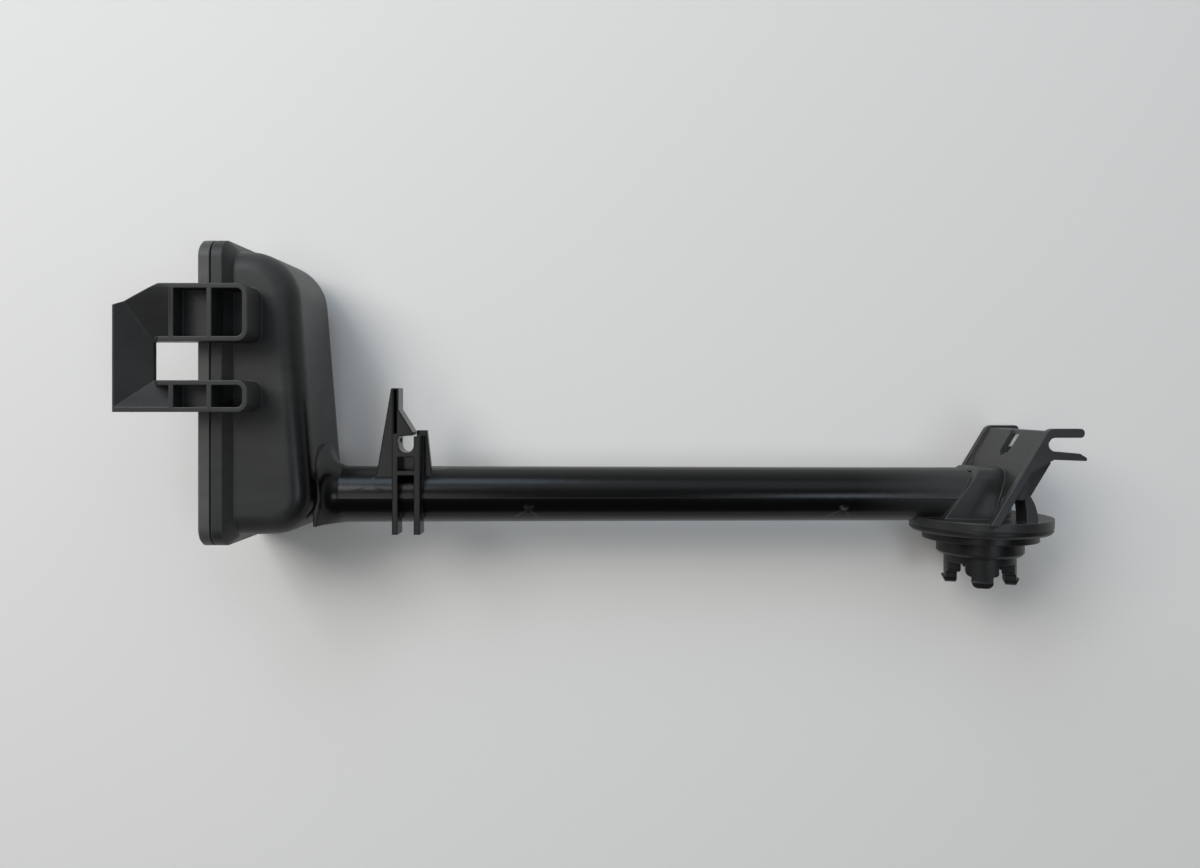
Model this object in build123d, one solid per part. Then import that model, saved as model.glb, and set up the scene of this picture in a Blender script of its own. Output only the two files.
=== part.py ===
from build123d import *
import os
from math import cos, radians, sin, tan

# Water manifold for an upper dishwasher rack, lying on its side, in millimetres.
# The origin is on the spray arm's axis, in the plane where the hub is welded under the body's disc.
# +X runs along the feed tube away from the docking hood, +Y is up in the machine, +Z is up as it lies.

OVERLAP = 1.0                 # forms that are joined or cut run this far into each other

# Feed tube
DOCK_REACH = 261.95           # from the spray arm's axis to the face that meets the tub's outlet
TUBE_Y = 10.4                 # height of the tube's axis over the weld plane
TUBE_R_HOOD = 9.7             # outer radius where the tube leaves the hood
TUBE_R_HUB = 9.15             # outer radius over the hub, so the long core can be drawn
TUBE_WALL = 1.9
COLLAR_SINK = 1.6             # the concave flare starts this far inside the hood's end wall
COLLAR_FLARE = 8.0
SEAM_RISE = 0.16              # parting line along both sides of the tube
SEAM_WIDTH = 0.4
SEAM_DROP = 0.5               # the parting line lies this far under the axis
GATE_R = 1.6
GATE_RISE = 0.3
GATE_DROP = 3.4
GATE_X = (-156.5, -49.5)

# Docking hood; a reach is measured from the docking face towards the hub
FRAME_T = 3.8
WELD_GAP = 0.6                # open seam between the frame's rim and the flange
WELD_INSET = 1.4
FLANGE_T = 3.4
FLANGE_H = 99.9
FLANGE_D = 48.6
FLANGE_CORNER = 6.0
FLANGE_SLOPE = 3.3            # length of the slope from the flange down into the hood
SLOPE_SINK = 1.0
RIM_BEVEL = 0.6
HOOD_H = 94.4                 # at the flange
HOOD_D = 41.6
HOOD_MID_Y = 45.3
HOOD_FALL = 0.7               # top and bottom walls close in by this much towards the tube
HOOD_FOOT_REACH = 36.5        # end wall at its foot
HOOD_HEAD_REACH = 28.9        # end wall at its head
HOOD_FOOT_R = 13.5
HOOD_HEAD_R = 17.0
HOOD_EDGE_R = 7.2
HOOD_WALL = 2.3
MOUTH_LIP = 4.5               # how far the frame stands in over the hood's opening
MOUTH_CORNER = 9.0

# Docking guide loop on the hood's upper side as it lies
LOOP_TIP_REACH = -22.7
LOOP_END_REACH = 19.4
LOOP_TOP_Y = 79.5
LOOP_BOTTOM_Y = 39.2
LOOP_GAP_TOP_Y = 61.4
LOOP_GAP_BOTTOM_Y = 49.15
LOOP_RIM_Z = 33.0
LOOP_WALL = 1.5
LOOP_RIB_T = 1.4
LOOP_RIB_REACH = (-4.4, 7.5)
LOOP_CUT_REACH = -8.4         # the upper corner is cut off from here
LOOP_CUT_Y = 72.7
LOOP_WINDOW_REACH = -12.9     # inner edge of the funnel, at its foot
LOOP_FLOOR = 1.6
LOOP_CLEAR = 0.4              # air between the loop's underside and the docking frame
LOOP_END_R = 3.4
FUNNEL_LIP = 0.5

# Hub end of the body
DISC_R = 23.5
DISC_T = 2.8
ELBOW_R = 9.9                 # elbow over the spray arm's axis, away from the tube
ELBOW_HALF_D = 11.3
ELBOW_TOP_Y = 19.9
ELBOW_TOP_R = 4.5
ELBOW_FOOT_X = -17.45         # its blunt nose leans on the tube
ELBOW_HEAD_X = -4.05
ELBOW_NOSE_HALF_D = 8.2
ELBOW_BORE_R = 7.8

# Leaning rack plate: a bent wall between two fork bars
BAR_LEAN = 31.0
BAR_FOOT_X = -7.95            # the bars' upper side, at the weld plane
RACK_D = 48.6                 # over both forks
WALL_T = 2.0
WALL_SINK = 0.75              # over its bend the wall lies this far under the bars
WALL_TOP_Y = 32.8
WALL_BEND_Y = 22.4
WALL_LEAN = 19.0              # lean of the wall under its bend
WALL_STEP_Y = 10.6            # under this height the wall is only as wide as the room between the struts
LIP_H = 1.6                   # lip along the back of the wall's top edge
LIP_T = 1.2
RETURN_T = 1.6                # wall that closes the wedge between a bar and the leaning wall
FORK_BAR_T = 2.6
FORK_T = 2.5
FORK_TOP_Y = 33.7
FORK_CORNER = 3.0
PRONG_T = 2.9
LOW_PRONG_T = 2.4             # at its root; it droops towards its tip
LOW_TIP_T = 1.0
LOW_TIP_DROP = 0.7
LOW_TIP_REACH = 0.7           # the lower prong is longer by this much
LOW_CHAMFER = 2.2             # length of the lead-in slope at its tip
WIRE_D = 4.4                  # rack wire
FORK_TIP_X = 23.65
FORK_ROOT_X = 12.05
PRONG_TIP_R = 1.3
LOW_TIP_R = 0.45
GUSSET = 4.6
SLOT_W = 7.2
SLOT_Z = 0.8
SLOT_FOOT_Y = 23.8
SLOT_LEAD = 1.8
WEB_Z = 17.0
WEB_T = 2.2
WEB_REACH = 8.9               # its back edge, behind the bars' upper side
STRUT_IN_Z = 13.0
STRUT_OUT_Z = 21.0
STRUT_FOOT_X = 10.05
STRUT_KNEE = (8.45, 10.5)     # points on its rounded outer side
STRUT_HEAD = (5.0, 14.7)
STRUT_T = 3.5
STRUT_IN_KNEE = (6.15, 9.2)

# Spray arm hub
HUB_DISC_R = 23.3
HUB_DISC_T = 2.2
HUB_DISC_EDGE = 0.8
HUB_RING_R = 19.0
HUB_RING_Y = -5.0
HUB_COLLAR_R = 14.3
HUB_COLLAR_Y = -10.2
HUB_COLLAR_EDGE = 0.9
HUB_NECK_R = 11.8
HUB_NECK_Y = -12.8
OUTLET_R = 7.2
FINGER_WALL = 3.5
FINGER_TIP_Y = -20.5
FINGER_LIP = 0.8
FINGER_LIP_H = 2.1
FINGER_SHOULDER_W = 10.4
FINGER_SHOULDER_Y = -16.5
FINGER_SHOULDER_R = 1.0
FINGER_W = 6.8
FINGER_STEP_R = 0.6
FINGER_TIP_R = 2.0
FINGER_COUNT = 4
FINGER_TURN = 18.0

# Wire clip moulded on the tube's upper side as it lies
CLIP_BACK_Z = 4.8
CLIP_FRONT_Z = 12.0
CLIP_WEB_T = 2.0
CLIP_FOOT_Y = -2.2
STEM_REACH = 59.8             # face of the stem on the hood's side, from the docking face
STEM_T = 2.2
STEM_TOP_Y = 47.0
FIN_T = 1.9
CLIP_GAP = 5.1                # room for a rack wire with its coating
POST_T = 2.1
POST_TOP_Y = 30.8
SEAT_Y = 25.4
SEAT_R = 2.4
SHELF_T = 1.6
CROSS_Y = 18.4
BRACE_HEAD = 1.5              # the braces' reach at their heads and at the tube's axis
BRACE_FOOT = 7.7
POST_BRACE_TOP_Y = 32.7
POST_BRACE_HEAD = 1.4
POST_BRACE_FOOT = 3.7
BARB_TOP_Y = 39.8
BARB_FOOT_Y = 31.1
BARB_TIP_H = 1.0
BARB_REACH = 4.8
STEM_POCKET = 3.0
STEM_RIM = 0.6

# Places along the tube that follow from the reaches
DOCK_X = -DOCK_REACH
FLANGE_X = DOCK_X + FRAME_T + WELD_GAP
HOOD_FOOT_X = DOCK_X + HOOD_FOOT_REACH
HOOD_HEAD_X = DOCK_X + HOOD_HEAD_REACH
COLLAR_X = HOOD_FOOT_X - COLLAR_SINK
LOOP_TIP_X = DOCK_X + LOOP_TIP_REACH
LOOP_END_X = DOCK_X + LOOP_END_REACH
LOOP_RIB_X = [DOCK_X + reach for reach in LOOP_RIB_REACH]
LOOP_CUT_X = DOCK_X + LOOP_CUT_REACH
LOOP_WINDOW_X = DOCK_X + LOOP_WINDOW_REACH
STEM_X = DOCK_X + STEM_REACH


def tube_radius(x):
    return TUBE_R_HUB + (TUBE_R_HOOD - TUBE_R_HUB) * x / HOOD_FOOT_X


def tube_cone(x0, x1, grow):
    axis = Plane(origin=(x0, TUBE_Y, 0), z_dir=(1, 0, 0))
    ends = (tube_radius(x0) + grow, tube_radius(x1) + grow)
    return axis * Cone(*ends, x1 - x0, align=(Align.CENTER, Align.CENTER, Align.MIN))


def block(x0, x1, y0, y1, z0, z1):
    middle = Pos((x0 + x1) / 2, (y0 + y1) / 2, (z0 + z1) / 2)
    return middle * Box(x1 - x0, y1 - y0, z1 - z0)


def cross_section(x, height, depth, middle_y, corner):
    return Plane.YZ.offset(x) * Pos(middle_y, 0) * RectangleRounded(height, depth, corner)


def bar_x(y, depth):
    return BAR_FOOT_X + y * tan(radians(BAR_LEAN)) + depth / cos(radians(BAR_LEAN))


def wall_x(y, depth):
    if y >= WALL_BEND_Y:
        return bar_x(y, WALL_SINK + depth)
    return bar_x(WALL_BEND_Y, WALL_SINK + depth) - (WALL_BEND_Y - y) * tan(radians(WALL_LEAN))


def wall_sheet(heights, front, back):
    front_points = [(wall_x(y, front), y) for y in heights]
    back_points = [(wall_x(y, back), y) for y in reversed(heights)]
    return make_face(Polyline(*front_points, *back_points, close=True))


# Outer form of the hood: a side profile with two large corners, drawn through its depth and rounded.
def hood_form(left_x, inset):
    fall = HOOD_FALL * (FLANGE_X - left_x) / (FLANGE_X - HOOD_FOOT_X)
    top = HOOD_MID_Y + HOOD_H / 2
    foot = HOOD_MID_Y - HOOD_H / 2
    foot_end = (HOOD_FOOT_X, foot + HOOD_FALL)
    head_end = (HOOD_HEAD_X, top - HOOD_FALL)
    outline = Polyline((left_x, foot + fall), foot_end, head_end, (left_x, top - fall), close=True)
    profile = make_face(outline)
    profile = fillet(profile.vertices().sort_by_distance(foot_end)[0], HOOD_FOOT_R)
    profile = fillet(profile.vertices().sort_by_distance(head_end)[0:1], HOOD_HEAD_R)
    if inset:
        profile = offset(profile, amount=-inset)
    form = extrude(profile, amount=HOOD_D / 2 - inset, both=True)
    sides = form.faces().sort_by(Axis.Z)
    open_end = form.faces().sort_by(Axis.X)[0].edges()
    rims = [e for e in sides[0].edges() + sides[-1].edges() if e not in open_end]
    return fillet(rims, HOOD_EDGE_R - inset)


# Hood, its flange and the slope between them
hood = hood_form(FLANGE_X, 0)
flange_edge = cross_section(FLANGE_X, FLANGE_H, FLANGE_D, HOOD_MID_Y, FLANGE_CORNER)
flange = extrude(flange_edge, FLANGE_T)
slope_foot_x = FLANGE_X + FLANGE_T + FLANGE_SLOPE
slope = loft([
    cross_section(FLANGE_X + FLANGE_T, FLANGE_H, FLANGE_D, HOOD_MID_Y, FLANGE_CORNER),
    cross_section(
        slope_foot_x, HOOD_H - 2 * SLOPE_SINK, HOOD_D - 2 * SLOPE_SINK, HOOD_MID_Y, HOOD_EDGE_R),
])

# Guide loop: two arms and a tip, cut into thin-walled cells that open upwards
loop_foot_z = FLANGE_D / 2 + LOOP_CLEAR
loop_floor_z = loop_foot_z + LOOP_FLOOR
loop_tip = make_face(Polyline(
    (LOOP_TIP_X, LOOP_BOTTOM_Y), (LOOP_TIP_X, LOOP_CUT_Y), (LOOP_CUT_X, LOOP_TOP_Y),
    (LOOP_RIB_X[0], LOOP_TOP_Y), (LOOP_RIB_X[0], LOOP_BOTTOM_Y), close=True))
loop = extrude(Pos(0, 0, loop_foot_z) * loop_tip, LOOP_RIM_Z - loop_foot_z)
funnel_side = make_face(Polyline(
    (LOOP_TIP_X + FUNNEL_LIP, LOOP_RIM_Z), (LOOP_WINDOW_X, loop_floor_z), (LOOP_WINDOW_X, 0),
    (LOOP_END_X, 0), (LOOP_END_X, LOOP_RIM_Z), close=True))
funnel_end = make_face(Polyline(
    (LOOP_BOTTOM_Y + LOOP_WALL, LOOP_RIM_Z), (LOOP_GAP_BOTTOM_Y, loop_floor_z), (LOOP_GAP_BOTTOM_Y, 0),
    (LOOP_GAP_TOP_Y, 0), (LOOP_GAP_TOP_Y, loop_floor_z), (LOOP_TOP_Y - LOOP_WALL, LOOP_RIM_Z), close=True))
funnel = extrude(Plane.XZ.offset(-LOOP_TOP_Y) * funnel_side, LOOP_TOP_Y - LOOP_BOTTOM_Y)
funnel &= extrude(Plane.YZ.offset(LOOP_TIP_X) * funnel_end, LOOP_END_X - LOOP_TIP_X)
loop -= funnel
for low_y, high_y in ((LOOP_BOTTOM_Y, LOOP_GAP_BOTTOM_Y), (LOOP_GAP_TOP_Y, LOOP_TOP_Y)):
    arm_x0 = LOOP_RIB_X[0] - LOOP_RIB_T / 2
    arm_plan = Pos((arm_x0 + LOOP_END_X) / 2, (low_y + high_y) / 2) * Rectangle(
        LOOP_END_X - arm_x0, high_y - low_y)
    end_corners = arm_plan.vertices().group_by(Axis.X)[-1]
    end_r = min(LOOP_END_R, (high_y - low_y) / 3)
    arm_plan = fillet(end_corners, end_r)
    arm = extrude(Pos(0, 0, HOOD_D / 2 - HOOD_WALL / 2) * arm_plan, LOOP_RIM_Z - HOOD_D / 2 + HOOD_WALL / 2)
    arm -= block(LOOP_TIP_X, FLANGE_X, low_y, high_y, 0, loop_foot_z)
    cell_low = low_y + LOOP_WALL
    cell_high = high_y - LOOP_WALL
    first_x = LOOP_RIB_X[0] + LOOP_RIB_T / 2
    rib_low_x = LOOP_RIB_X[1] - LOOP_RIB_T / 2
    rib_high_x = LOOP_RIB_X[1] + LOOP_RIB_T / 2
    arm -= block(first_x, rib_low_x, cell_low, cell_high, loop_floor_z, LOOP_RIM_Z + OVERLAP)
    cell = block(rib_high_x, LOOP_END_X - LOOP_WALL, cell_low, cell_high, HOOD_D / 2, LOOP_RIM_Z + OVERLAP)
    cell = fillet(cell.edges().filter_by(Axis.Z).group_by(Axis.X)[-1], end_r - LOOP_WALL)
    arm -= cell
    loop += arm
# Walls along the window run on past the first rib with a sloping end.
window_wall = make_face(Polyline(
    (LOOP_CUT_X, LOOP_RIM_Z), (LOOP_RIB_X[0], LOOP_RIM_Z), (LOOP_RIB_X[0], loop_foot_z),
    (LOOP_WINDOW_X, loop_foot_z), (LOOP_WINDOW_X, loop_floor_z), close=True))
for wall_top in (LOOP_GAP_BOTTOM_Y, LOOP_GAP_TOP_Y + LOOP_WALL):
    loop += extrude(Plane.XZ.offset(-wall_top) * window_wall, LOOP_WALL)

# Feed tube with its collar, parting lines and gate marks
tube = tube_cone(HOOD_FOOT_X - HOOD_FOOT_R, 0, 0)
flare_r = tube_radius(COLLAR_X + COLLAR_FLARE)
flare_end = (COLLAR_X + COLLAR_FLARE, flare_r)
flare_start = (COLLAR_X, flare_r + COLLAR_FLARE)
flare_mid = (COLLAR_X + COLLAR_FLARE * 0.29, flare_r + COLLAR_FLARE * 0.29)
flare = make_face([
    ThreePointArc(flare_start, flare_mid, flare_end),
    Polyline(flare_end, (flare_end[0], 0), (COLLAR_X - OVERLAP, 0),
             (COLLAR_X - OVERLAP, flare_start[1]), flare_start),
])
flare = Pos(0, TUBE_Y, 0) * revolve(flare, Axis.X)
flare_half_d = HOOD_D / 2 - HOOD_EDGE_R
flare &= block(
    COLLAR_X - OVERLAP, flare_end[0], TUBE_Y - flare_r, TUBE_Y + flare_start[1], -flare_half_d, flare_half_d)
tube += flare
seam_ends = (COLLAR_X + COLLAR_FLARE / 2, ELBOW_HEAD_X)
seam_half = [tube_radius(x) + SEAM_RISE for x in seam_ends]
seam = make_face(Polyline(
    (seam_ends[0], -seam_half[0]), (seam_ends[1], -seam_half[1]),
    (seam_ends[1], seam_half[1]), (seam_ends[0], seam_half[0]), close=True))
tube += extrude(Plane.XZ.offset(-(TUBE_Y - SEAM_DROP)) * seam, SEAM_WIDTH)
for gate_x in GATE_X:
    gate_z = (tube_radius(gate_x) ** 2 - GATE_DROP ** 2) ** 0.5
    stub = Cylinder(GATE_R, gate_z + GATE_RISE, align=(Align.CENTER, Align.CENTER, Align.MIN))
    tube += Pos(gate_x, TUBE_Y - GATE_DROP, 0) * stub

# Wire clip: a web that stands on the tube, with fins, a round seat for the wire and a barb over it
stem_end_x = STEM_X + STEM_T
post_x = stem_end_x + CLIP_GAP
post_end_x = post_x + POST_T
web_sheet = make_face(Polyline(
    (STEM_X - BRACE_FOOT, TUBE_Y), (STEM_X - BRACE_HEAD, STEM_TOP_Y), (stem_end_x, STEM_TOP_Y),
    (stem_end_x, SEAT_Y), (post_x, SEAT_Y), (post_x, POST_BRACE_TOP_Y),
    (post_end_x + POST_BRACE_HEAD, POST_BRACE_TOP_Y), (post_end_x + POST_BRACE_FOOT, TUBE_Y), close=True))
wire_way = Pos(stem_end_x + CLIP_GAP / 2, SEAT_Y + CLIP_GAP) * Rectangle(CLIP_GAP, 2 * CLIP_GAP)
wire_way = fillet(wire_way.vertices().group_by(Axis.Y)[0], SEAT_R)
shelf_low_y = SEAT_Y - SHELF_T
shelf_sheet = Rectangle(post_end_x - STEM_X, 2 * SEAT_R)
shelf_sheet = Pos((STEM_X + post_end_x) / 2, shelf_low_y + SEAT_R) * shelf_sheet
web_sheet = web_sheet + shelf_sheet - wire_way
barb = make_face(Polyline(
    (stem_end_x - OVERLAP, BARB_TOP_Y + OVERLAP), (stem_end_x, BARB_TOP_Y),
    (stem_end_x + BARB_REACH, BARB_FOOT_Y + BARB_TIP_H), (stem_end_x + BARB_REACH - 0.2, BARB_FOOT_Y),
    (stem_end_x - OVERLAP, BARB_FOOT_Y - 0.4), close=True))
clip_depth = CLIP_FRONT_Z - CLIP_BACK_Z
clip = extrude(Pos(0, 0, CLIP_BACK_Z) * web_sheet, CLIP_WEB_T)
clip += extrude(Pos(0, 0, CLIP_BACK_Z) * (barb + (shelf_sheet - wire_way)), clip_depth)
clip += block(STEM_X, STEM_X + FIN_T, CLIP_FOOT_Y, BARB_FOOT_Y, CLIP_BACK_Z, CLIP_FRONT_Z)
clip += block(STEM_X, stem_end_x, BARB_FOOT_Y - OVERLAP, STEM_TOP_Y, CLIP_BACK_Z, CLIP_FRONT_Z)
clip += block(post_x, post_end_x, CLIP_FOOT_Y, POST_TOP_Y, CLIP_BACK_Z, CLIP_FRONT_Z)
clip += block(STEM_X, post_x, CROSS_Y - SHELF_T / 2, CROSS_Y + SHELF_T / 2, CLIP_BACK_Z, CLIP_FRONT_Z)
clip -= block(
    STEM_X + STEM_RIM, stem_end_x - STEM_RIM, BARB_FOOT_Y + STEM_RIM, STEM_TOP_Y - STEM_RIM,
    CLIP_FRONT_Z - STEM_POCKET, CLIP_FRONT_Z + OVERLAP)

# Elbow: an upright oval form with a rounded head, cut to a slope where the tube runs into it
elbow_flanks = [
    TangentArc((0, half), (ELBOW_FOOT_X, nose), tangent=(-1, 0))
    for half, nose in ((ELBOW_HALF_D, ELBOW_NOSE_HALF_D), (-ELBOW_HALF_D, -ELBOW_NOSE_HALF_D))
]
elbow_plan = make_face([
    *elbow_flanks, EllipticalCenterArc((0, 0), ELBOW_R, ELBOW_HALF_D, -90, arc_size=180),
    Line((ELBOW_FOOT_X, -ELBOW_NOSE_HALF_D), (ELBOW_FOOT_X, ELBOW_NOSE_HALF_D))])
elbow_side = make_face(Polyline(
    (ELBOW_FOOT_X, 0), (ELBOW_HEAD_X, ELBOW_TOP_Y), (ELBOW_R + OVERLAP, ELBOW_TOP_Y),
    (ELBOW_R + OVERLAP, 0), close=True))
elbow = extrude(Plane.XZ * elbow_plan, -ELBOW_TOP_Y)
elbow &= extrude(elbow_side, ELBOW_HALF_D + OVERLAP, both=True)
head_rim = elbow.faces().sort_by(Axis.Y)[-1].edges().filter_by(GeomType.LINE, reverse=True)
elbow = fillet(head_rim, ELBOW_TOP_R)
disc = Plane.XZ * Cylinder(DISC_R, DISC_T, align=(Align.CENTER, Align.CENTER, Align.MAX))

# Rack plate: a leaning wall between two fork bars, with a slot for a wire in its top edge
wall_half = RACK_D / 2 - FORK_T / 2
wall = extrude(wall_sheet([WALL_STEP_Y, WALL_BEND_Y, WALL_TOP_Y], 0, WALL_T), wall_half, both=True)
wall += extrude(wall_sheet([DISC_T / 2, WALL_STEP_Y + OVERLAP], 0, WALL_T), STRUT_IN_Z, both=True)
slot_plane = Plane(
    origin=(wall_x(SLOT_FOOT_Y, 0), SLOT_FOOT_Y, SLOT_Z), x_dir=(0, 0, 1),
    z_dir=(cos(radians(BAR_LEAN)), -sin(radians(BAR_LEAN)), 0))
slot_rise = (WALL_TOP_Y - SLOT_FOOT_Y) / cos(radians(BAR_LEAN))
slot_shape = Pos(0, -SLOT_W / 2) * Circle(SLOT_W / 2)
slot_shape += Pos(0, -SLOT_W / 2 - slot_rise / 2) * Rectangle(SLOT_W, slot_rise)
wall -= extrude(slot_plane * slot_shape, WALL_T * 2, both=True)
slot_tops = wall.edges().filter_by(lambda e: e.length < WALL_T / cos(radians(BAR_LEAN)) + 0.1)
slot_tops = slot_tops.filter_by(lambda e: abs(e.center().Z - SLOT_Z) < SLOT_W)
slot_tops = slot_tops.filter_by(lambda e: e.center().Y > WALL_TOP_Y - 0.1)
wall = fillet(slot_tops, SLOT_LEAD)
lip = wall_sheet([WALL_TOP_Y - LIP_H, WALL_TOP_Y], WALL_T / 2, WALL_T + LIP_T)
wall += extrude(lip, wall_half, both=True)

gap_high_y = FORK_TOP_Y - PRONG_T
gap_low_y = gap_high_y - WIRE_D
fork_low_y = gap_low_y - LOW_PRONG_T
low_tip_y = fork_low_y - LOW_TIP_DROP
low_tip_x = FORK_TIP_X + LOW_TIP_REACH
corner = (bar_x(FORK_TOP_Y, 0), FORK_TOP_Y)
bar_foot_y = 0.8 * DISC_T
bar = make_face(Polyline(
    (bar_x(bar_foot_y, 0), bar_foot_y), corner, (FORK_TIP_X, FORK_TOP_Y), (FORK_TIP_X, gap_high_y),
    (bar_x(gap_high_y, FORK_BAR_T), gap_high_y), (bar_x(bar_foot_y, FORK_BAR_T), bar_foot_y),
    close=True))
bar = fillet(bar.vertices().sort_by_distance(corner)[0], FORK_CORNER)
bar = fillet(bar.vertices().group_by(Axis.X)[-1], PRONG_TIP_R)
prong_foot_x = bar_x(fork_low_y, FORK_BAR_T)
low_prong = make_face(Polyline(
    (prong_foot_x - FORK_BAR_T, fork_low_y), (low_tip_x, low_tip_y), (low_tip_x, low_tip_y + LOW_TIP_T),
    (low_tip_x - LOW_CHAMFER, gap_low_y - LOW_TIP_DROP), (FORK_ROOT_X + WIRE_D / 2, gap_low_y),
    (FORK_ROOT_X + WIRE_D / 2, gap_high_y + OVERLAP),
    (bar_x(gap_high_y + OVERLAP, FORK_BAR_T / 2), gap_high_y + OVERLAP), close=True))
low_prong = fillet(low_prong.vertices().group_by(Axis.X)[-1], LOW_TIP_R)
gusset = make_face(Polyline(
    (prong_foot_x - OVERLAP, fork_low_y + OVERLAP), (prong_foot_x + GUSSET, fork_low_y - 0.1),
    (bar_x(fork_low_y - GUSSET, FORK_BAR_T), fork_low_y - GUSSET), close=True))
wire_round = Pos(FORK_ROOT_X + WIRE_D / 2, gap_low_y + WIRE_D / 2) * Circle(WIRE_D / 2)
fork = extrude(bar + low_prong + gusset - wire_round, FORK_T)
web = make_face(Polyline(
    (wall_x(WALL_BEND_Y, WALL_T / 2), WALL_BEND_Y), (bar_x(WALL_BEND_Y, WEB_REACH), WALL_BEND_Y),
    (bar_x(WALL_STEP_Y, WEB_REACH), WALL_STEP_Y),
    (wall_x(WALL_STEP_Y, WALL_T / 2), WALL_STEP_Y), close=True))
wedge = make_face(Polyline(
    (bar_x(WALL_BEND_Y, WALL_SINK), WALL_BEND_Y), (wall_x(WALL_BEND_Y, WALL_T / 2), WALL_BEND_Y),
    (wall_x(WALL_STEP_Y, WALL_T / 2), WALL_STEP_Y),
    (bar_x(WALL_STEP_Y, WALL_SINK), WALL_STEP_Y), close=True))
strut_foot = (STRUT_FOOT_X, DISC_T / 2)
inner_foot = (STRUT_FOOT_X - STRUT_T, DISC_T / 2)
inner_head = (STRUT_HEAD[0], STRUT_HEAD[1] - STRUT_T / 2)
strut = make_face([
    ThreePointArc(strut_foot, STRUT_KNEE, STRUT_HEAD), Line(STRUT_HEAD, inner_head),
    ThreePointArc(inner_head, STRUT_IN_KNEE, inner_foot), Line(inner_foot, strut_foot)])
fork_in_z = RACK_D / 2 - FORK_T
side = Pos(0, 0, fork_in_z) * fork
side += Pos(0, 0, fork_in_z - RETURN_T) * extrude(wedge, RETURN_T + OVERLAP)
side += Pos(0, 0, WEB_Z - WEB_T / 2) * extrude(web, WEB_T)
side += Pos(0, 0, STRUT_IN_Z) * extrude(strut, STRUT_OUT_Z - STRUT_IN_Z)
rack_plate = wall + side + mirror(side, Plane.XY)

# Water ways: hood, tube, and the elbow down through the disc
cavity = hood_form(FLANGE_X - 2 * HOOD_WALL, HOOD_WALL)
bore = tube_cone(HOOD_FOOT_X - HOOD_FOOT_R, 0, -TUBE_WALL)
elbow_bore_top = TUBE_Y + TUBE_R_HUB - TUBE_WALL
elbow_bore = Cylinder(ELBOW_BORE_R, elbow_bore_top + OVERLAP, align=(Align.CENTER, Align.CENTER, Align.MAX))
elbow_bore = Pos(0, -OVERLAP, 0) * Plane.XZ * elbow_bore
body = hood + flange + slope + tube + clip + elbow + disc + rack_plate
body -= cavity
body -= bore + elbow_bore
body += loop - cavity

# Docking frame, welded to the flange round its rim
frame = extrude(cross_section(DOCK_X, FLANGE_H, FLANGE_D, HOOD_MID_Y, FLANGE_CORNER), FRAME_T)
frame = chamfer(frame.faces().sort_by(Axis.X)[0].edges(), RIM_BEVEL)
tongue_edge = cross_section(
    DOCK_X + FRAME_T, FLANGE_H - 2 * WELD_INSET, FLANGE_D - 2 * WELD_INSET, HOOD_MID_Y,
    FLANGE_CORNER - WELD_INSET)
frame += extrude(tongue_edge, WELD_GAP)
mouth_h = HOOD_H - 2 * HOOD_WALL - 2 * MOUTH_LIP
mouth_d = HOOD_D - 2 * HOOD_WALL - 2 * MOUTH_LIP
mouth = cross_section(DOCK_X - OVERLAP, mouth_h, mouth_d, HOOD_MID_Y, MOUTH_CORNER)
frame -= extrude(mouth, FRAME_T + WELD_GAP + 2 * OVERLAP)

# Hub: a stepped turning, with four snap fingers cut from a lipped ring
hub_half = make_face(Polyline(
    (OUTLET_R, 0), (HUB_DISC_R, 0), (HUB_DISC_R, HUB_DISC_EDGE - HUB_DISC_T),
    (HUB_DISC_R - HUB_DISC_EDGE, -HUB_DISC_T), (HUB_RING_R, -HUB_DISC_T), (HUB_RING_R, HUB_RING_Y),
    (HUB_COLLAR_R, HUB_RING_Y), (HUB_COLLAR_R, HUB_COLLAR_Y + HUB_COLLAR_EDGE),
    (HUB_COLLAR_R - HUB_COLLAR_EDGE, HUB_COLLAR_Y), (HUB_NECK_R, HUB_COLLAR_Y),
    (HUB_NECK_R, HUB_NECK_Y), (OUTLET_R, HUB_NECK_Y), close=True))
hub = revolve(hub_half, Axis.Y)
finger_in = HUB_NECK_R - FINGER_WALL
lip_y = FINGER_TIP_Y + FINGER_LIP_H
finger_half = make_face(Polyline(
    (finger_in, HUB_NECK_Y + OVERLAP), (HUB_NECK_R, HUB_NECK_Y + OVERLAP), (HUB_NECK_R, lip_y),
    (HUB_NECK_R + FINGER_LIP, lip_y), (HUB_NECK_R - 0.3, FINGER_TIP_Y), (finger_in, FINGER_TIP_Y),
    close=True))
finger_ring = revolve(finger_half, Axis.Y)
reach = HUB_NECK_R + 2 * FINGER_LIP
shoulder = FINGER_SHOULDER_W / 2
tongue = FINGER_W / 2
stamp = make_face(Polyline(
    (HUB_NECK_Y + OVERLAP, -shoulder), (HUB_NECK_Y + OVERLAP, shoulder), (FINGER_SHOULDER_Y, shoulder),
    (FINGER_SHOULDER_Y, tongue), (FINGER_TIP_Y, tongue), (FINGER_TIP_Y, -tongue),
    (FINGER_SHOULDER_Y, -tongue), (FINGER_SHOULDER_Y, -shoulder), close=True))
for place, turn_r in ((shoulder, FINGER_SHOULDER_R), (tongue, FINGER_STEP_R)):
    for half in (place, -place):
        stamp = fillet(stamp.vertices().sort_by_distance((FINGER_SHOULDER_Y, half))[0], turn_r)
for half in (tongue, -tongue):
    stamp = fillet(stamp.vertices().sort_by_distance((FINGER_TIP_Y, half))[0], FINGER_TIP_R)
stamp = extrude(Plane.YZ.offset(finger_in / 2) * stamp, reach - finger_in / 2)
for step in range(FINGER_COUNT):
    turn = 360 / FINGER_COUNT * step - FINGER_TURN
    hub += finger_ring & (Rot(0, turn, 0) * stamp)

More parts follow.
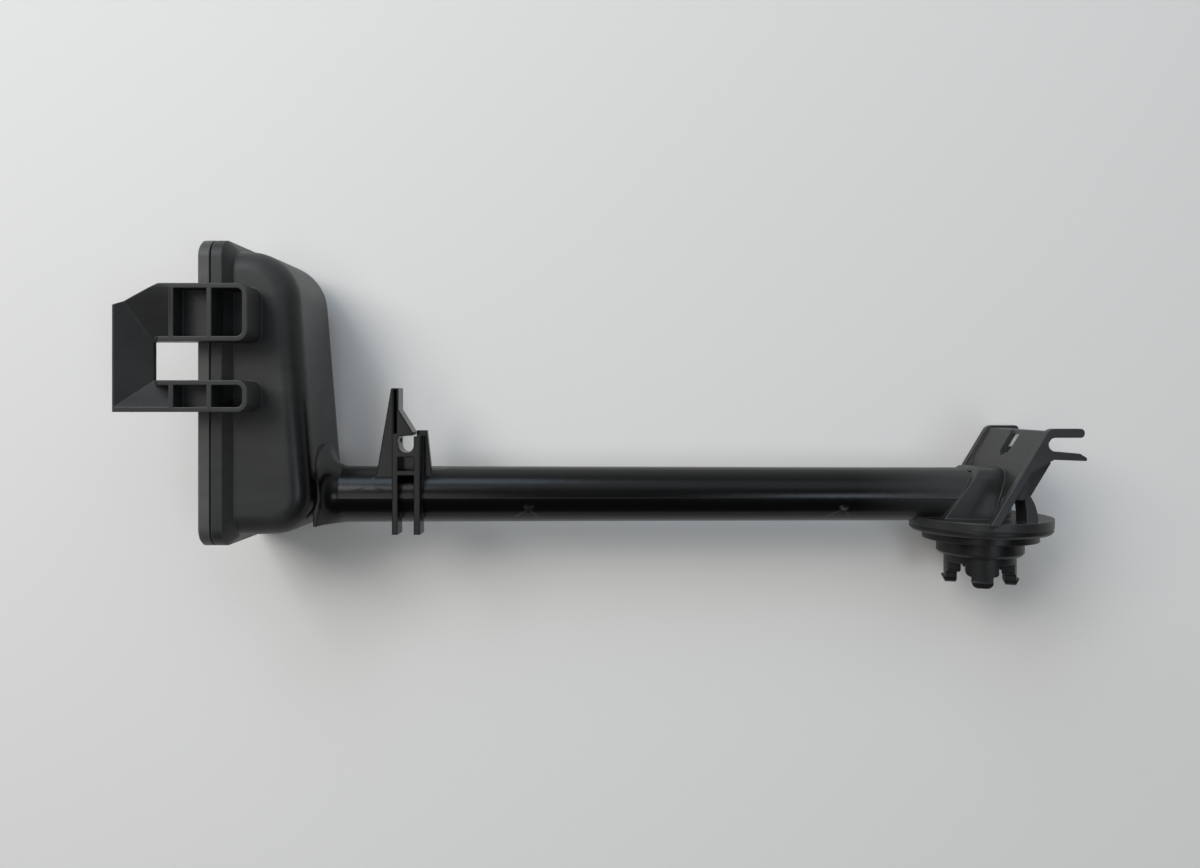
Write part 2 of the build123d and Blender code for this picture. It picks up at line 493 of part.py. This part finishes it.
nodes = {
    "manifold_body": body,
    "docking_frame": frame,
    "spray_arm_hub": hub,
}
os.makedirs("parts", exist_ok=True)
for name, shape in nodes.items():
    export_step(shape, f"parts/{name}.step")
    print(name, len(shape.solids()), round(shape.volume / 1000, 2), shape.bounding_box())
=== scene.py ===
import math

import bpy
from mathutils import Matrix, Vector


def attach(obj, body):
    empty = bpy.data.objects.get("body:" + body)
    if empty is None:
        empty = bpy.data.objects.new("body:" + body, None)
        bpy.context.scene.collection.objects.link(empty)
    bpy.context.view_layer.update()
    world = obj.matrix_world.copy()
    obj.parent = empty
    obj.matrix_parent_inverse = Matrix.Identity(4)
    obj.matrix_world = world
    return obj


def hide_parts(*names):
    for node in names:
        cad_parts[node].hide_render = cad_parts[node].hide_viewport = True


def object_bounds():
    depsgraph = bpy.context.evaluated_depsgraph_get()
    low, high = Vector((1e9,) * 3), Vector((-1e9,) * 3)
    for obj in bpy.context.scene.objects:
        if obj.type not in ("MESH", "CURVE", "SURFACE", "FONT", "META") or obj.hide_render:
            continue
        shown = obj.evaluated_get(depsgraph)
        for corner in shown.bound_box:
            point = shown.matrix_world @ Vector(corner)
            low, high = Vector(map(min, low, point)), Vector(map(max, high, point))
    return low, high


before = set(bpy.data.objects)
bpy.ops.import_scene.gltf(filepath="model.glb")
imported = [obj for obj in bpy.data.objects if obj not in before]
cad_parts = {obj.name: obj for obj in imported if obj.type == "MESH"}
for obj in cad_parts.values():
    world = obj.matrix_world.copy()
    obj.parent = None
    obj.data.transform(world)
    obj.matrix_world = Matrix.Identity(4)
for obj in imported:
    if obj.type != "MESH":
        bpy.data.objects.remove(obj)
cad_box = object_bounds()


# Manifold body: the hood with its guide loop, the feed tube with the wire clip, the elbow, the disc and the
# leaning rack plate are one injection moulding of black plastic, most likely polypropylene. The mould parts
# along the tube, so a line runs down each side. The tube looks polished, the hood and the plate are satin.
def smooth_moulding(node, name):
    # A copy of the solid's triangles, merged and shaded smooth wherever two faces meet at a small turn
    merge_distance = 0.000002
    largest_smooth_turn = math.radians(32)
    large_face_weight = 90
    bpy.ops.object.select_all(action="DESELECT")
    piece = bpy.data.objects.new(name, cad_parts[node].data.copy())
    piece.data.materials.clear()
    bpy.context.scene.collection.objects.link(piece)
    piece.select_set(True)
    bpy.context.view_layer.objects.active = piece
    bpy.ops.mesh.customdata_custom_splitnormals_clear()
    bpy.ops.object.mode_set(mode="EDIT")
    bpy.ops.mesh.select_all(action="SELECT")
    bpy.ops.mesh.remove_doubles(threshold=merge_distance)
    bpy.ops.object.mode_set(mode="OBJECT")
    bpy.ops.object.shade_smooth_by_angle(angle=largest_smooth_turn)
    weigh = piece.modifiers.new("even_normals", "WEIGHTED_NORMAL")
    weigh.keep_sharp = True
    weigh.weight = large_face_weight
    bpy.ops.object.modifier_apply(modifier=weigh.name)
    piece.select_set(False)
    return piece


def round_normals(piece, tube_run, tube_y, elbow_foot, elbow_half, elbow_arc):
    # The tube's skin points away from its axis, the elbow's two sides away from the middles of their arcs
    close_to_tube = 0.96
    close_to_elbow = 0.995
    steepest_side = 0.02
    mesh = piece.data
    normals = [corner.vector.copy() for corner in mesh.corner_normals]
    for face in mesh.polygons:
        along_tube = tube_run[0] < face.center.x < tube_run[1]
        beside_elbow = elbow_foot < face.center.x < 0 and abs(face.normal.y) < steepest_side
        for corner in face.loop_indices:
            spot = mesh.vertices[mesh.loops[corner].vertex_index].co
            from_axis = Vector((0, spot.y - tube_y, spot.z)).normalized()
            out_from_middle = spot.z + math.copysign(elbow_arc - elbow_half, spot.z)
            from_arc = Vector((spot.x, 0, out_from_middle)).normalized()
            if along_tube and face.normal.dot(from_axis) > close_to_tube:
                normals[corner] = from_axis
            elif beside_elbow and face.normal.dot(from_arc) > close_to_elbow:
                normals[corner] = from_arc
    mesh.normals_split_custom_set(normals)


def feed(tree, socket, value):
    # A socket takes another node's output, or else a plain value
    if isinstance(value, bpy.types.NodeSocket):
        tree.links.new(value, socket)
    else:
        socket.default_value = value


def step(tree, kind, inputs):
    node = tree.nodes.new(kind)
    for name, value in inputs.items():
        feed(tree, node.inputs[name], value)
    return node


def mix_colours(tree, share, under, over, blend="MIX"):
    mix = tree.nodes.new("ShaderNodeMix")
    mix.data_type = "RGBA"
    mix.blend_type = blend
    # The node keeps its colour sockets behind those for plain numbers and for vectors
    share_socket, under_socket, over_socket = mix.inputs[0], mix.inputs[6], mix.inputs[7]
    feed(tree, share_socket, share)
    feed(tree, under_socket, under)
    feed(tree, over_socket, over)
    return mix.outputs[2]


def edge_wear_and_sheen(tree):
    # Edges are rounded a little, and the mask says how far a point lies round one. The colour there turns
    # paler, partly wear and partly a painted highlight where the rims catch the light.
    soft = step(tree, "ShaderNodeBevel", {"Radius": 0.00055})
    soft.samples = 8
    facet = tree.nodes.new("ShaderNodeNewGeometry")
    turn = tree.nodes.new("ShaderNodeVectorMath")
    turn.operation = "DOT_PRODUCT"
    feed(tree, turn.inputs[0], soft.outputs["Normal"])
    feed(tree, turn.inputs[1], facet.outputs["Normal"])
    wear_and_sheen = step(tree, "ShaderNodeMapRange", {
        "Value": turn.outputs["Value"], "From Min": 0.995, "From Max": 0.86})
    return soft.outputs["Normal"], wear_and_sheen.outputs["Result"]


def melt_flow(tree, place):
    # Flow of the melt along the part: long clouds
    along = step(tree, "ShaderNodeMapping", {"Vector": place, "Scale": (18, 70, 70)})
    flow = step(tree, "ShaderNodeTexNoise", {
        "Vector": along.outputs["Vector"], "Scale": 1.0, "Detail": 4.0, "Roughness": 0.6})
    return flow.outputs["Fac"]


def flow_colour(tree, flow, shade):
    tint = step(tree, "ShaderNodeValToRGB", {"Fac": flow})
    dark, pale = tint.color_ramp.elements
    dark.position = 0.3
    dark.color = (shade[0] * 0.72, shade[1] * 0.72, shade[2] * 0.74, 1)
    pale.position = 0.72
    pale.color = (shade[0] * 1.25, shade[1] * 1.25, shade[2] * 1.24, 1)
    return tint.outputs["Color"]


def dusted(tree, place, colour):
    # Fine dust and dried water specks that sit on the skin
    dust_grey = (0.2, 0.2, 0.19, 1)
    specks = step(tree, "ShaderNodeTexNoise", {"Vector": place, "Scale": 620.0, "Detail": 3.0})
    dust = step(tree, "ShaderNodeMapRange", {
        "Value": specks.outputs["Fac"], "From Min": 0.66, "From Max": 0.8, "To Max": 0.1})
    return mix_colours(tree, dust.outputs["Result"], colour, dust_grey)


def mould_skin(tree, place, rounded, grain_size):
    # Eroded mould skin: a fine grain over a slight unevenness
    uneven = step(tree, "ShaderNodeTexNoise", {"Vector": place, "Scale": 160.0, "Detail": 2.0})
    wave = step(tree, "ShaderNodeBump", {
        "Height": uneven.outputs["Fac"], "Normal": rounded, "Strength": 0.06, "Distance": 0.001})
    grain = step(tree, "ShaderNodeTexNoise", {"Vector": place, "Scale": 1 / grain_size, "Detail": 2.0})
    pits = step(tree, "ShaderNodeBump", {
        "Height": grain.outputs["Fac"], "Normal": wave.outputs["Normal"],
        "Strength": 0.12, "Distance": 0.0002})
    return pits.outputs["Normal"]


def level_along(tree, place, stations):
    # A level for each station along the part, with an even fade from one to the next
    first_x = -0.3
    last_x = 0.05
    spot = step(tree, "ShaderNodeSeparateXYZ", {"Vector": place})
    reach = step(tree, "ShaderNodeMapRange", {
        "Value": spot.outputs["X"], "From Min": first_x, "From Max": last_x})
    fade = step(tree, "ShaderNodeValToRGB", {"Fac": reach.outputs["Result"]})
    marks = fade.color_ramp.elements
    marks.remove(marks[-1])
    for count, (x, level) in enumerate(stations):
        mark_at = (x - first_x) / (last_x - first_x)
        mark = marks.new(mark_at) if count else marks[0]
        mark.position = mark_at
        mark.color = (level, level, level, 1)
    return fade.outputs["Color"]


def satin_plastic(name, shade, edge_wear_and_sheen_shade, roughness, grain_size, depth=None, polish=None):
    # Depth and polish are levels along the part that multiply the colour and the roughness
    mat = bpy.data.materials.new(name)
    mat.use_nodes = True
    tree = mat.node_tree
    place = tree.nodes.new("ShaderNodeTexCoord").outputs["Object"]
    rounded, wear_and_sheen = edge_wear_and_sheen(tree)
    flow = melt_flow(tree, place)
    dusty = dusted(tree, place, flow_colour(tree, flow, shade))
    # The rims are painted paler here: partly wear, partly a painted highlight.
    colour = mix_colours(tree, wear_and_sheen, dusty, (*edge_wear_and_sheen_shade, 1))
    rough = step(tree, "ShaderNodeMapRange", {
        "Value": flow, "From Min": 0.25, "From Max": 0.75,
        "To Min": roughness - 0.05, "To Max": roughness + 0.07}).outputs["Result"]
    if depth:
        colour = mix_colours(tree, 1.0, colour, level_along(tree, place, depth), "MULTIPLY")
    if polish:
        polished = tree.nodes.new("ShaderNodeMath")
        polished.operation = "MULTIPLY"
        feed(tree, polished.inputs[0], rough)
        feed(tree, polished.inputs[1], level_along(tree, place, polish))
        rough = polished.outputs["Value"]
    skin = tree.nodes["Principled BSDF"]
    skin.inputs["Specular IOR Level"].default_value = 0.32
    feed(tree, skin.inputs["Base Color"], colour)
    feed(tree, skin.inputs["Roughness"], rough)
    feed(tree, skin.inputs["Normal"], mould_skin(tree, place, rounded, grain_size))
    return mat


hood_ends = -0.236
tube_starts = -0.228
polish_fades = -0.045
elbow_starts = -0.014
body = smooth_moulding("manifold_body", "moulded_body")
# The edge shade is paler than the body: partly wear, partly a painted highlight on the rims.
body.data.materials.append(satin_plastic(
    "black_polypropylene", shade=(0.034, 0.034, 0.0336), edge_wear_and_sheen_shade=(0.08, 0.08, 0.08),
    roughness=0.44, grain_size=0.00045,
    depth=((hood_ends, 1.0), (tube_starts, 0.04), (polish_fades, 0.04), (elbow_starts, 0.85)),
    polish=((hood_ends, 1.0), (tube_starts, 0.5), (polish_fades, 0.5), (elbow_starts, 0.85))))
round_normals(
    body, tube_run=(-0.226, -0.02), tube_y=0.0104,
    elbow_foot=-0.01745, elbow_half=0.0113, elbow_arc=0.0507)
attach(body, "root")
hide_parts("manifold_body")

# Docking frame: a flat rim of the same plastic, moulded by itself and most likely welded to the hood's
# flange, where its seam shows. Its outer edge is a little greyer, from a coarser mould skin.
rim = smooth_moulding("docking_frame", "welded_docking_rim")
# The edge shade is paler than the rim: partly wear, partly a painted highlight on its edges.
rim.data.materials.append(satin_plastic(
    "grained_rim_plastic", shade=(0.085, 0.085, 0.08), edge_wear_and_sheen_shade=(0.13, 0.13, 0.124),
    roughness=0.42, grain_size=0.0006))
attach(rim, "root")
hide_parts("docking_frame")

# Spray arm hub: a stepped round moulding of the same plastic, with a collar that the spray arm spins on and
# four snap fingers that hold it. It is most likely welded under the body's disc.
hub = smooth_moulding("spray_arm_hub", "snap_finger_hub")
# The edge shade is paler than the hub: partly wear, partly a painted highlight on its edges.
hub.data.materials.append(satin_plastic(
    "hub_polypropylene", shade=(0.009, 0.009, 0.0092), edge_wear_and_sheen_shade=(0.04, 0.04, 0.041),
    roughness=0.38, grain_size=0.00045))
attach(hub, "root")
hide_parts("spray_arm_hub")

# Floor: a plain pale sheet that the part lies on, so large that its edge lies at the horizon.
floor_size = 40
floor_level = cad_box[0][2]
bpy.ops.object.select_all(action="DESELECT")
bpy.ops.mesh.primitive_plane_add(size=floor_size, location=(-0.13, 0.04, floor_level))
floor = bpy.context.object
floor.name = "pale_floor"
bpy.ops.object.transform_apply(location=True, rotation=True, scale=True)
sheet = bpy.data.materials.new("pale_sheet")
sheet.use_nodes = True
sheet_skin = sheet.node_tree.nodes["Principled BSDF"]
sheet_skin.inputs["Base Color"].default_value = (0.95, 0.925, 0.89, 1)
sheet_skin.inputs["Roughness"].default_value = 0.7
floor.data.materials.append(sheet)


# Light: a large soft lamp on the left, two windows on the far side and two small lamps overhead. All of them
# face the middle of the part.
def soft_panel(name, place, size, watts, colour):
    part_middle = Vector((-0.13, 0.03, 0))
    data = bpy.data.lights.new(name, "AREA")
    data.shape = "RECTANGLE"
    data.size = size[0]
    data.size_y = size[1]
    data.energy = watts
    data.color = colour
    lamp = bpy.data.objects.new(name, data)
    bpy.context.scene.collection.objects.link(lamp)
    lamp.location = place
    lamp.rotation_euler = (lamp.location - part_middle).to_track_quat("Z", "Y").to_euler()


warm_white = (1.0, 0.99, 0.97)
soft_panel("left_lamp", (-0.9, 0.6, 1.0), (0.7, 0.7), 8.5, warm_white)
soft_panel("far_left_window", (-0.58, 1.15, 0.72), (0.75, 0.5), 3.4, (0.66, 0.83, 1.0))
soft_panel("far_window", (0.1, 0.95, 0.95), (1.4, 0.8), 1.6, (0.86, 0.93, 1.0))
soft_panel("overhead_lamp", (-0.48, -0.05, 1.0), (0.36, 0.3), 0.6, warm_white)
soft_panel("hub_lamp", (0.27, -0.09, 1.0), (0.3, 0.3), 1.1, (0.76, 0.88, 1.0))

# Room: a pale wall all round, and above it a ceiling that is pale towards the windows and dim on the near
# side.
pale_wall = (0.6, 0.6, 0.59, 1)
room = bpy.data.worlds.new("studio")
room.use_nodes = True
room_tree = room.node_tree
heading = step(room_tree, "ShaderNodeSeparateXYZ", {
    "Vector": room_tree.nodes.new("ShaderNodeTexCoord").outputs["Generated"]})
near_to_far = step(room_tree, "ShaderNodeMapRange", {"Value": heading.outputs["Y"], "From Min": -1.0})
ceiling = step(room_tree, "ShaderNodeValToRGB", {"Fac": near_to_far.outputs["Result"]})
near_end, far_end = ceiling.color_ramp.elements
near_end.position = 0.45
near_end.color = (0.06, 0.059, 0.057, 1)
far_end.position = 0.85
far_end.color = (0.34, 0.36, 0.38, 1)
rise = step(room_tree, "ShaderNodeMapRange", {
    "Value": heading.outputs["Z"], "From Min": 0.13, "From Max": 0.26})
seen_room = mix_colours(room_tree, rise.outputs["Result"], pale_wall, ceiling.outputs["Color"])
feed(room_tree, room_tree.nodes["Background"].inputs["Color"], seen_room)
bpy.context.scene.world = room

# Camera: straight above, at the height and with the lens that the part's own perspective gives.
lens = bpy.data.cameras.new("overhead")
lens.sensor_width = 36
lens.lens = 27.06
lens.shift_y = -0.0258
camera = bpy.data.objects.new("overhead", lens)
bpy.context.scene.collection.objects.link(camera)
camera.location = (-0.13235, 0.0420, 0.3145)
bpy.context.scene.camera = camera
bpy.context.scene.view_settings.view_transform = "Standard"
